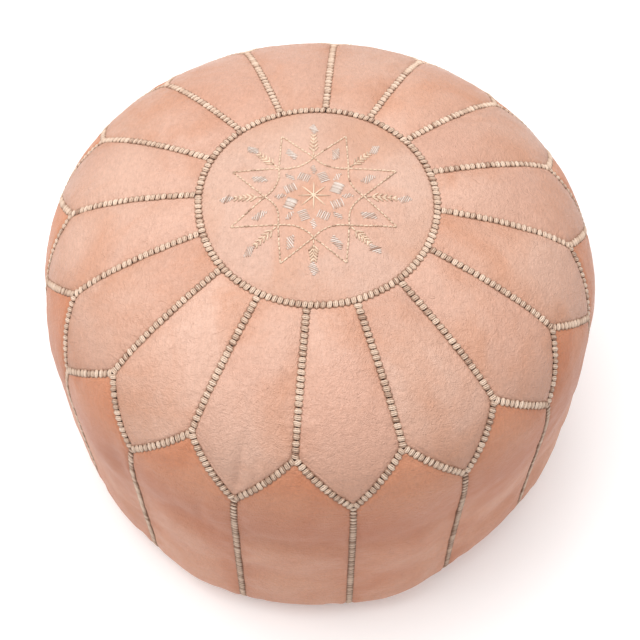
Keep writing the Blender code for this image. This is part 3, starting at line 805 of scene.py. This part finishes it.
def stitched(name, line, pitch, replaced, seed, half_width=SEAM_HALF_WIDTH, bundle=FULL_BUNDLE):
    """Stitches of three strands each, side by side across a seam's line of points and normals."""
    points, normals = line
    fill, arch, (brightest, outer_shade, variation) = bundle
    lengths = line_lengths(points)
    count = max(1, round(lengths[-1] / pitch))
    step = lengths[-1] / count
    draw = np.random.default_rng(seed)
    at = (np.arange(count) + 0.5) * step + draw.uniform(-0.05, 0.05, count) * step
    ahead = read_line(at + MM, lengths, points)
    behind = read_line(at - MM, lengths, points)
    forward = unit(ahead - behind)
    aside = unit(np.cross(unit(read_line(at, lengths, normals)), forward))
    frames = (read_line(at, lengths, points), np.cross(forward, aside), forward, aside)
    origin, normal, forward, aside = (np.repeat(part, STRANDS, axis=0) for part in frames)
    total = count * STRANDS
    order = np.tile(np.arange(STRANDS) - 1, count)
    turn = np.linspace(-1, 1, STRAND_RINGS) * math.pi / 2
    width = half_width * (1 + draw.uniform(-0.10, 0.10, total))[:, None]
    rise = draw.uniform(-0.12, 0.18, total)[:, None] * MM
    crown = (np.abs(order) < 1)[:, None] * CROWN_RISE
    slant = draw.normal(0.20, 0.09, count).repeat(STRANDS)[:, None]
    reach = np.sin(turn)[None] * width
    height = STRAND_ROOT + arch * (STRAND_RISE + rise + crown) * np.sqrt(np.clip(np.cos(turn), 0, 1))[None]
    spread = step * STRAND_SPREAD * fill
    shift = order[:, None] * spread * (1 - 0.80 * np.sin(turn)[None] ** 4) + slant * reach * 0.55
    shift += draw.uniform(-0.08, 0.08, total)[:, None] * MM
    path = origin[:, None] + reach[..., None] * aside[:, None] + height[..., None] * normal[:, None]
    path += shift[..., None] * forward[:, None]
    shape = tube(path, forward[:, None], STRAND_RADIUS * step * fill, 0.14, 5.0)
    tone = draw.normal(brightest, variation, count).repeat(STRANDS) + draw.normal(0, 0.12, total)
    # Painted shade on each stitch's outer strands
    tone -= outer_shade * np.abs(order)
    piece = tubes_mesh(name, shape, np.clip(tone, 0, 1), 1.30)
    dress(piece, SEAM_THREAD, replaced)


def seam_stitching():
    """Every thick seam: the disc's ring, its arms, the zigzag, the side seams and the base's ring."""
    around = np.linspace(0, TAU, 721)
    stitched("disc_ring_stitches", skin(around, RUN_DISC), 5.33 * MM, "crown_stitching", 1)
    stitched("base_ring_stitches", skin(around, RUN_BASE), 5.6 * MM, "base_ring_stitching", 2)
    arm = np.linspace(RUN_DISC + 3.2 * MM, RUN_SHOULDER + 0.6 * MM, 80)
    drop = np.linspace(RUN_TIP - 0.4 * MM, RUN_BASE - 3.4 * MM, 160)
    share = np.linspace(0.014, 0.985, 80)
    for number in range(SEGMENTS):
        label = f"{number + 1:02d}"
        seam = math.pi / 2 - number * STEP
        tip = seam - STEP / 2
        stitched("petal_seam_stitches_" + label, skin(seam, arm), 5.4 * MM, "crown_stitching", 10 + number)
        for side, word, seed in ((1, "left", 40), (-1, "right", 60)):
            name = f"zigzag_stitches_{label}_{word}"
            line = skin(tip + side * share * STEP / 2, blend(RUN_TIP, RUN_SHOULDER, share))
            stitched(name, line, 5.1 * MM, "skirt_stitching", seed + number)
        name = "side_seam_stitches_" + label
        line = skin(tip, drop)
        stitched(name, line, 5.2 * MM, "skirt_stitching", 80 + number, NARROW_HALF_WIDTH, SIDE_BUNDLE)


# ---- embroidery


STAR_TURN = math.radians(4.41)
STAR_SIZE = 0.1060
STAR_CENTRE = np.array([-2.6 * MM, -0.4 * MM])
# Radii as shares of the star's size: each sprig's end and each point's end, then what they have in common
ARM_ENDS = (0.705, 0.68, 0.705, 0.68, 0.685, 0.69, 0.64, 0.655)
POINT_ENDS = (0.765, 0.74, 0.735, 0.755, 0.765, 0.71, 0.705, 0.75)
CROSSING = 0.42
BOW = 0.340
SPRIG_START = 0.44
BARB_START = 0.49
BARBS = 5
POINT_FILLING = 0.50
SQUARE_FILLING = 0.215
INNER_FILLING = 0.285


def disc_place(radius, turn):
    """Flat place on the disc at a share of the star's size, at an angle from its first axis."""
    angle = turn + STAR_TURN
    return STAR_CENTRE + radius * STAR_SIZE * np.array([math.cos(angle), math.sin(angle)])


def stroke_lines(strokes):
    """Flat places along each stroke, and how far up its arch each lies, from 0 at the ends to 1."""
    share = np.linspace(0, 1, 7)[None, :, None]
    strokes = np.asarray(strokes)
    flat = strokes[:, :1] * (1 - share) + strokes[:, 1:] * share
    arch = np.sqrt(np.sin(math.pi * np.clip(share[..., 0], 0.0001, 0.9999)))
    return flat, arch


def strokes_mesh(name, strokes, radius, material, seed, dip=0.5 * MM):
    """Short arched threads, each from one flat place on the disc to another."""
    draw = np.random.default_rng(seed)
    flat, arch = stroke_lines(strokes)
    points, normals = disc_surface(flat[..., 0], flat[..., 1])
    height = -dip + (dip + radius * 0.75 + draw.uniform(0, 0.15, (len(strokes), 1)) * MM) * arch
    path = points + normals * height[..., None]
    along = unit(path[:, -1] - path[:, 0])
    side = np.cross(along, normals[:, 3])[:, None]
    tone = np.clip(draw.normal(0.62, 0.2, len(strokes)), 0, 1)
    piece = tubes_mesh(name, tube(path, side, radius, 0.12, 3.0), tone)
    dress(piece, material, "star_embroidery")


def along_line(corners, stitch, gap, draw):
    """Stitches of about one length along a line through the corners."""
    corners = np.asarray(corners)
    lengths = line_lengths(corners)
    count = max(1, round(lengths[-1] / stitch))
    ends = np.linspace(0, lengths[-1], count + 1)
    ends[1:-1] += draw.uniform(-0.12, 0.12, count - 1) * stitch
    made = []
    for start, end in zip(ends[:-1] + gap / 2, ends[1:] - gap / 2):
        pair = read_line(np.array([start, end]), lengths, corners)
        made.append(pair + draw.normal(0, 0.12 * MM, (2, 2)))
    return made


def bow(start, middle, end, count=9):
    """A curve through three places."""
    share = np.linspace(0, 1, count)[:, None]
    control = 2 * middle - (start + end) / 2
    return start * (1 - share) ** 2 + 2 * control * share * (1 - share) + end * share**2


def hatched(centre, direction, half_length, shares, reaches, lean, draw):
    """Parallel threads across a direction, at shares of a half length, each with its own half width."""
    direction = direction / np.linalg.norm(direction)
    leaning = np.array([-direction[1], direction[0]]) + direction * lean
    made = []
    for share, reach in zip(shares, reaches):
        place = centre + direction * share * half_length
        pair = np.array([place - leaning * reach, place + leaning * reach])
        made.append(pair + draw.normal(0, 0.10 * MM, (2, 2)))
    return made


def satin(centre, direction, half_length, half_width, threads, lean, draw):
    """Parallel threads that fill a lozenge, lying across it at a lean."""
    shares = np.linspace(-0.86, 0.86, threads)
    reaches = (1 - np.abs(shares)) ** 0.8 * half_width + 0.25 * MM
    return hatched(centre, direction, half_length, shares, reaches, lean, draw)


def square_satin(centre, direction, half, threads, draw):
    """Parallel threads that fill a square standing on its corner."""
    diagonal = direction + np.array([-direction[1], direction[0]])
    return hatched(centre, diagonal, half, np.linspace(-0.9, 0.9, threads), [half] * threads, 0.0, draw)


def star_embroidery():
    """A plain eight-pointed star with a sprig on each axis, and small filled lozenges round its centre."""
    draw = np.random.default_rng(5)
    lines, fills, bright = [], [], []

    def lozenge(radius, turn, outward, half_length, half_width, *weave):
        sizes = half_length * STAR_SIZE, half_width * STAR_SIZE
        fills.extend(satin(disc_place(radius, turn), outward, *sizes, *weave, draw))

    for arm in range(8):
        axis = arm * TAU / 8
        point = axis + TAU / 16
        start = disc_place(POINT_ENDS[arm], point)
        first_cross = disc_place(CROSSING, axis + TAU / 8)
        second_cross = disc_place(CROSSING, axis + TAU / 4)
        inner = disc_place(BOW, point + TAU / 8)
        end = disc_place(POINT_ENDS[(arm + 2) % 8], point + TAU / 4)
        lines += along_line([start, first_cross], 4.2 * MM, 0.35 * MM, draw)
        lines += along_line(bow(first_cross, inner, second_cross), 4.0 * MM, 0.35 * MM, draw)
        lines += along_line([second_cross, end], 4.2 * MM, 0.35 * MM, draw)
        outward = disc_place(1.0, axis) - STAR_CENTRE
        tip = ARM_ENDS[arm]
        lines += along_line([disc_place(SPRIG_START, axis), disc_place(tip, axis)], 4.4 * MM, 0.3 * MM, draw)
        for barb in range(BARBS):
            root = BARB_START + 0.22 * (tip - 0.50) * barb
            reach = 0.058 * (1 - 0.10 * barb)
            for side in (-1, 1):
                tilt = math.atan2(side * reach * 0.75, root + reach)
                end_radius = math.hypot(root + reach, reach * 0.75)
                lines.append(np.array([disc_place(root, axis), disc_place(end_radius, axis + tilt)]))
        lozenge(tip + 0.065, axis, outward, 0.062, 0.050, 7, 0.5)
        ray = disc_place(1.0, point) - STAR_CENTRE
        lozenge(POINT_FILLING, point, ray, 0.072, 0.050, 7, 0.7)
        is_bright = arm in (0, 4)
        target, threads, half = (bright, 11, 0.058) if is_bright else (fills, 6, 0.050)
        target += square_satin(disc_place(SQUARE_FILLING, point), ray, half * STAR_SIZE, threads, draw)
        lozenge(INNER_FILLING, axis, outward, 0.048, 0.032, 5, 0.6)
        if arm < 4:
            lines.append(np.array([disc_place(0.145, axis + math.pi), disc_place(0.150, axis)]))
    strokes_mesh("star_outline_stitches", lines, 0.74 * MM, STAR_THREAD, 21)
    strokes_mesh("star_filling_stitches", fills, 0.56 * MM, SATIN_THREAD, 22)
    strokes_mesh("star_bright_stitches", bright, 0.50 * MM, SATIN_THREAD, 23)


# ---- base


BASE_COLUMNS = 193
BASE_ROWS = 81
BASE_RIM = float(section(RUN_BASE + 1.3 * MM)[0])
# Half length of the machine stitches beside the zip, and the run of the hand seam past each end of it
ZIP_SEAM_HALF = 0.144
END_SEAM = (ZIP_HALF_LENGTH + 0.022, FOOT_RADIUS + 0.006)


def base_lift(x, y):
    """How far the base leather is drawn up, beside the zip and along the sewn ends of its seam."""
    past_zip = ease((np.abs(x) - ZIP_HALF_LENGTH - 0.008) / 0.030)
    depth = blend(RECESS_DEPTH, CENTRE_SEAM_DEPTH, past_zip)
    return depth * (1 - ease((np.abs(y) - TAPE_OUTER) / 0.030))


def base_edge(x):
    """Distance of the base leather's straight edge from the X axis: wide at the zip, closed past it."""
    shut = ease((np.abs(x) - ZIP_HALF_LENGTH - 0.004) / 0.012)
    return blend(ZIP_OPENING, HALF_GAP, shut)


def base_height(flat):
    radius = np.minimum(np.hypot(flat[..., 0], flat[..., 1]), BASE_RIM)
    near_rim = ease((radius - FOOT_RADIUS - 0.008) / 0.012)
    height = section(run_at_radius(radius, under=True))[1]
    return np.maximum(height, base_lift(flat[..., 0], flat[..., 1]) * (1 - near_rim))


def base_sheet():
    """Flat places of the rear half of the base, in rows from its straight edge to the rim."""
    first_angle = HALF_GAP / BASE_RIM
    u = np.linspace(0, 1, BASE_COLUMNS)
    v = np.linspace(0, 1, BASE_ROWS) ** 1.1

    def rim(share):
        angle = math.pi - blend(first_angle, math.pi - first_angle, share)
        return np.stack([BASE_RIM * np.cos(angle), BASE_RIM * np.sin(angle)], -1)

    x = blend(-(BASE_RIM - 0.002), BASE_RIM - 0.002, u)
    straight = np.stack([x, base_edge(x)], -1)
    left, right = rim(v / 4)[:, None], rim(1 - v / 4)[:, None]
    low, high = straight[None], rim(0.25 + u / 2)[None]
    over, down = u[None, :, None], v[:, None, None]
    corners = blend(blend(straight[0], straight[-1], over), blend(rim(0.25), rim(0.75), over), down)
    return blend(low, high, down) + blend(left, right, over) - corners


def base_panel(word, side, number, flat):
    """One half round, with the machine stitches that hold it to its tape."""
    name = "base_panel_" + word
    points = np.stack([flat[..., 0], side * flat[..., 1], base_height(flat)], -1)
    far = ease(np.hypot(points[..., 0], points[..., 1]) / BASE_RIM) ** 4
    keep = blend(1.0, settled(np.arctan2(points[..., 1], points[..., 0]), 0.0), far)
    points[..., :2] *= keep[..., None]
    to_rim = np.maximum(BASE_RIM - np.hypot(flat[..., 0], flat[..., 1]), 0)
    to_edge = np.maximum(flat[..., 1] - base_edge(flat[..., 0]), 0)
    closed = ease((np.abs(flat[..., 0]) - ZIP_HALF_LENGTH) / 0.015)
    seam_distance = np.minimum(to_rim, to_edge + 0.012 * (1 - closed))
    creases = np.abs(waves(points, 300 + number, 0.020, 0.070)) * ease(seam_distance / 0.03)
    points[..., 2] += 0.7 * MM * creases + 0.4 * MM * bell(seam_distance, GROOVE_WIDTH)
    quads = grid_quads(BASE_ROWS, BASE_COLUMNS)[:, ::side]
    panel = make_mesh(name, points, quads, panel_values(seam_distance, 60 + number, points))
    dress(panel, BASE_LEATHER, name)
    thicken(panel)
    from_zip = side * (ZIP_OPENING + 2.0 * MM)
    edge = np.stack([np.linspace(-ZIP_SEAM_HALF, ZIP_SEAM_HALF, 200), np.full(200, from_zip)], -1)
    zip_seam("zip_seam_stitches_" + word, edge, 330 + number, name)


def base_end_seam(word, side, seed):
    """Hand stitches that close the base past one end of the zip."""
    flat = np.stack([side * np.linspace(*END_SEAM, 60), np.zeros(60)], -1)
    points = np.concatenate([flat, base_height(flat)[:, None]], -1)
    line = (points, np.tile([0.0, 0.0, -1.0], (60, 1)))
    replaced = "base_seam_stitching_" + word
    stitched("base_seam_stitches_" + word, line, 5.4 * MM, replaced, seed, NARROW_HALF_WIDTH)


def zip_seam(name, line, seed, replaced):
    """Plain machine stitches that hold the base leather to the tape, along a straight edge."""
    draw = np.random.default_rng(seed)
    strokes = along_line(line, 3.4 * MM, 0.7 * MM, draw)
    flat, arch = stroke_lines(strokes)
    height = base_lift(flat[..., 0], flat[..., 1]) + 0.6 * MM - 0.85 * MM * arch
    path = np.concatenate([flat, height[..., None]], -1)
    side = np.tile([0.0, 1.0, 0.0], (len(strokes), 1, 1))
    tone = np.clip(draw.normal(0.55, 0.15, len(strokes)), 0, 1)
    piece = tubes_mesh(name, tube(path, side, 0.34 * MM, 0.10, 3.0), tone)
    dress(piece, SEAM_THREAD, replaced)


# ---- zip


RIB_PITCH = 1.15 * MM


def zip_tapes(material):
    """Woven tapes with a ribbed body, and a corded edge that the teeth grip."""
    x = np.linspace(-ZIP_HALF_LENGTH, ZIP_HALF_LENGTH, 601)
    y = np.linspace(TAPE_INNER, TAPE_OUTER, 47)
    for name, side in (("zip_tape_rear", 1), ("zip_tape_front", -1)):
        over, across = np.meshgrid(x, side * y)
        from_inner = np.abs(across) - TAPE_INNER
        half = 0.22 * MM + 0.24 * MM * bell(from_inner - 0.35 * MM, 0.35 * MM)
        ribs = np.cos(TAU * np.abs(across) / RIB_PITCH) * 0.04 * MM
        weave = np.cos(TAU * (over / MM + np.abs(across) / RIB_PITCH / 2)) * 0.03 * MM
        half = (half + ribs + weave) * ease(from_inner / (0.3 * MM) + 0.35)
        top = np.stack([over, across, ZIP_HEIGHT + half], -1)
        bottom = np.stack([over, across, ZIP_HEIGHT - half], -1)
        loops = np.concatenate([bottom, top[::-1]], 0).transpose(1, 0, 2)
        columns, around = loops.shape[:2]
        first = np.arange(len(y) - 1)
        cap = np.stack([first, first + 1, around - 2 - first, around - 1 - first], -1)
        body = grid_quads(columns, around, closed=True)
        quads = np.vstack([body, cap[:, ::-1], cap + (columns - 1) * around])
        tape = make_mesh(name, loops, quads[:, ::-side])
        dress(tape, material, name)


# A tooth's half width and half height at each reach from the zip's middle, in millimetres
TOOTH_SECTIONS = (
    (3.05, 0.46, 0.95),
    (2.5, 0.56, 1.12),
    (1.7, 0.56, 1.00),
    (0.9, 0.44, 0.82),
    (0.2, 0.54, 0.92),
    (-0.45, 0.57, 0.98),
    (-0.6, 0.44, 0.80),
)


def tooth_points():
    """One moulded tooth: a clamp round the tape's cord and a head that narrows."""
    rings = []
    for reach, wide, tall in TOOTH_SECTIONS:
        angle = (np.arange(STRAND_SIDES) + 0.5) * TAU / STRAND_SIDES
        square = np.maximum(np.abs(np.cos(angle)), np.abs(np.sin(angle))) ** -0.75
        ring = [np.cos(angle) * square * wide, np.full(STRAND_SIDES, reach), np.sin(angle) * square * tall]
        rings.append(np.stack(ring, -1))
    return np.array(rings) * MM


def zip_teeth(material):
    """Brass teeth along the inner edge of each tape, those of one between those of the other."""
    template = tooth_points()
    count = int((CHAIN_END - CHAIN_START) / TOOTH_PITCH)
    for name, side, shift in (("zip_teeth_rear", 1, 0.0), ("zip_teeth_front", -1, 0.5)):
        places = CHAIN_START + (np.arange(count) + 0.5 + shift) * TOOTH_PITCH
        shape = np.repeat(template[None], len(places), 0)
        shape[..., 1] *= side
        shape[..., 0] += places[:, None, None]
        shape[..., 2] += ZIP_HEIGHT
        teeth = tubes_mesh(name, shape[:, :, ::-side], np.full(len(places), 0.5))
        dress(teeth, material, name)


def zip_metal(material):
    """The slider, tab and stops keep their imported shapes, with softened edges and better metal."""
    for name in ("zip_slider", "zip_pull_tab", "zip_top_stop_rear", "zip_top_stop_front", "zip_bottom_stop"):
        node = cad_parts[name]
        for holder in node.material_slots:
            holder.material = material
        soften = node.modifiers.new("soft_edges", "BEVEL")
        soften.width = 0.16 * MM
        soften.segments = 2
        soften.limit_method = "ANGLE"


# ---- inside


FORM_COLUMNS = 192
FORM_LUMPS = 0.9 * MM
# How far each form lies inside the leather, its lowest height, its mouth's radius and its sheet's thickness
LINER = {"inset": 0.0085, "floor": 0.0105, "mouth": 0.080, "thickness": 0.0008}
STUFFING = {"inset": 0.0102, "floor": 0.0124, "mouth": 0.0, "thickness": 0.0}


def turned_form(name, material, slot, inset, floor, mouth, thickness):
    """A turned form inside the leather, softly lumpy, closed at the top, and below where it has no mouth."""
    runs = np.linspace(0.002, RUN_BASE - 0.010, 90)
    radius, height, normal_r, normal_z = section(runs)
    radius, height = radius - normal_r * inset, np.maximum(height - normal_z * inset, floor)
    inner = np.linspace(FOOT_RADIUS - 0.004 - inset, max(mouth, 0.002), 30)
    radius = np.concatenate([radius, inner])
    height = np.concatenate([height, np.full(len(inner), floor)])
    azimuth = np.linspace(0, TAU, FORM_COLUMNS, endpoint=False)
    points = turned(azimuth[None], radius[:, None] * settled(azimuth[None], height[:, None]), height[:, None])
    lumps = waves(points, 401, 0.030, 0.110) * FORM_LUMPS - FORM_LUMPS
    inward = unit(points - np.array([0, 0, BELLY_HEIGHT]))
    free = ease((points[..., 2] - floor) / 0.02)
    points += inward * (lumps * free)[..., None]
    rings = len(radius)
    around = np.arange(FORM_COLUMNS)
    quads = [grid_quads(rings, FORM_COLUMNS, closed=True), fan_quads(around, rings * FORM_COLUMNS)]
    middles = [points[0].mean(axis=0)]
    if not mouth:
        quads.append(fan_quads((rings - 1) * FORM_COLUMNS + around[::-1], rings * FORM_COLUMNS + 1))
        middles.append(points[-1].mean(axis=0))
    form = make_mesh(name, np.vstack([points.reshape(-1, 3), middles]), np.vstack(quads))
    if thickness:
        thicken(form, thickness)
    dress(form, material, name)
    return form


# ---- stage


# Name, place, width, watts and colour of each lamp, and the place that they face
LAMPS = (
    ("key", (-0.80, 0.00, 2.20), 2.0, 51.0, (1.0, 0.985, 0.97)),
    ("fill", (1.3, -0.9, 2.0), 2.2, 13.0, (1.0, 0.985, 0.975)),
    ("rear", (0.6, 1.2, 2.1), 2.0, 20.0, (1.0, 0.99, 0.985)),
)
LIT_PLACE = (0, 0, 0.2)
CAMERA_PLACE = (0.0515, -0.6676, 1.2528)
SEEN_PLACE = (0, 0, 0.16)
FLOOR_HALF_WIDTH = 6.0
FLOOR_DROP = 0.4 * MM


def face(holder, place, target):
    """Puts a lamp or camera in place, turned to the target."""
    holder.location = place
    holder.rotation_euler = (Vector(target) - Vector(place)).to_track_quat("-Z", "Y").to_euler()
    bpy.context.scene.collection.objects.link(holder)


def stage():
    """A white floor, soft studio light, and the camera."""
    corners = np.array([[-1, -1, 0], [1, -1, 0], [1, 1, 0], [-1, 1, 0]]) * FLOOR_HALF_WIDTH
    floor = make_mesh("floor", corners - [0, 0, FLOOR_DROP], np.array([[0, 1, 2, 3]]))
    paper = Shader("floor_paper", Emission_Color=(1.0, 0.975, 0.98, 1.0), Emission_Strength=0.18)
    tint = paper.ramp(paper.noise(3.0, 2.0), 0.3, 0.7)
    paper.colour(paper.mix(tint, (0.90, 0.895, 0.90), (0.92, 0.915, 0.92)))
    paper.rough(paper.ramp(tint, 0.0, 1.0, 0.85, 0.95))
    floor.data.materials.append(paper.material)

    world = bpy.data.worlds.new("studio")
    bpy.context.scene.world = world
    world.use_nodes = True
    sky = world.node_tree.nodes["Background"].inputs
    sky["Color"].default_value = (1.0, 0.99, 0.985, 1)
    sky["Strength"].default_value = 0.36

    for name, place, width, power, colour in LAMPS:
        lamp = bpy.data.lights.new(name, "AREA")
        lamp.shape = "SQUARE"
        lamp.size = width
        lamp.energy = power
        lamp.color = colour
        face(bpy.data.objects.new(name, lamp), place, LIT_PLACE)

    lens = bpy.data.cameras.new("camera")
    lens.lens = 70.4
    lens.sensor_width = 36.0
    lens.shift_x = 0.0053
    lens.shift_y = -0.0192
    camera = bpy.data.objects.new("camera", lens)
    face(camera, CAMERA_PLACE, SEEN_PLACE)
    bpy.context.scene.camera = camera
    bpy.context.scene.view_settings.view_transform = "Standard"


# ---- the whole pouf

leather_panels()
top_disc()
seam_stitching()
star_embroidery()
BASE_SHEET = base_sheet()
base_panel("rear", 1, 0, BASE_SHEET)
base_panel("front", -1, 1, BASE_SHEET)
base_end_seam("left", -1, 320)
base_end_seam("right", 1, 321)
BRASS = brass("zip_brass")
zip_tapes(woven("zip_tape", (0.40, 0.26, 0.16), (0.28, 0.17, 0.10), 0.0006))
zip_teeth(BRASS)
zip_metal(BRASS)
CALICO = woven("liner_calico", (0.80, 0.75, 0.64), (0.68, 0.62, 0.50), 0.0009)
turned_form("inner_liner_bag", CALICO, "liner_calico", **LINER)
core = turned_form("stuffing_core", wadding("cotton_wadding"), "cotton_wadding", **STUFFING)
stage()
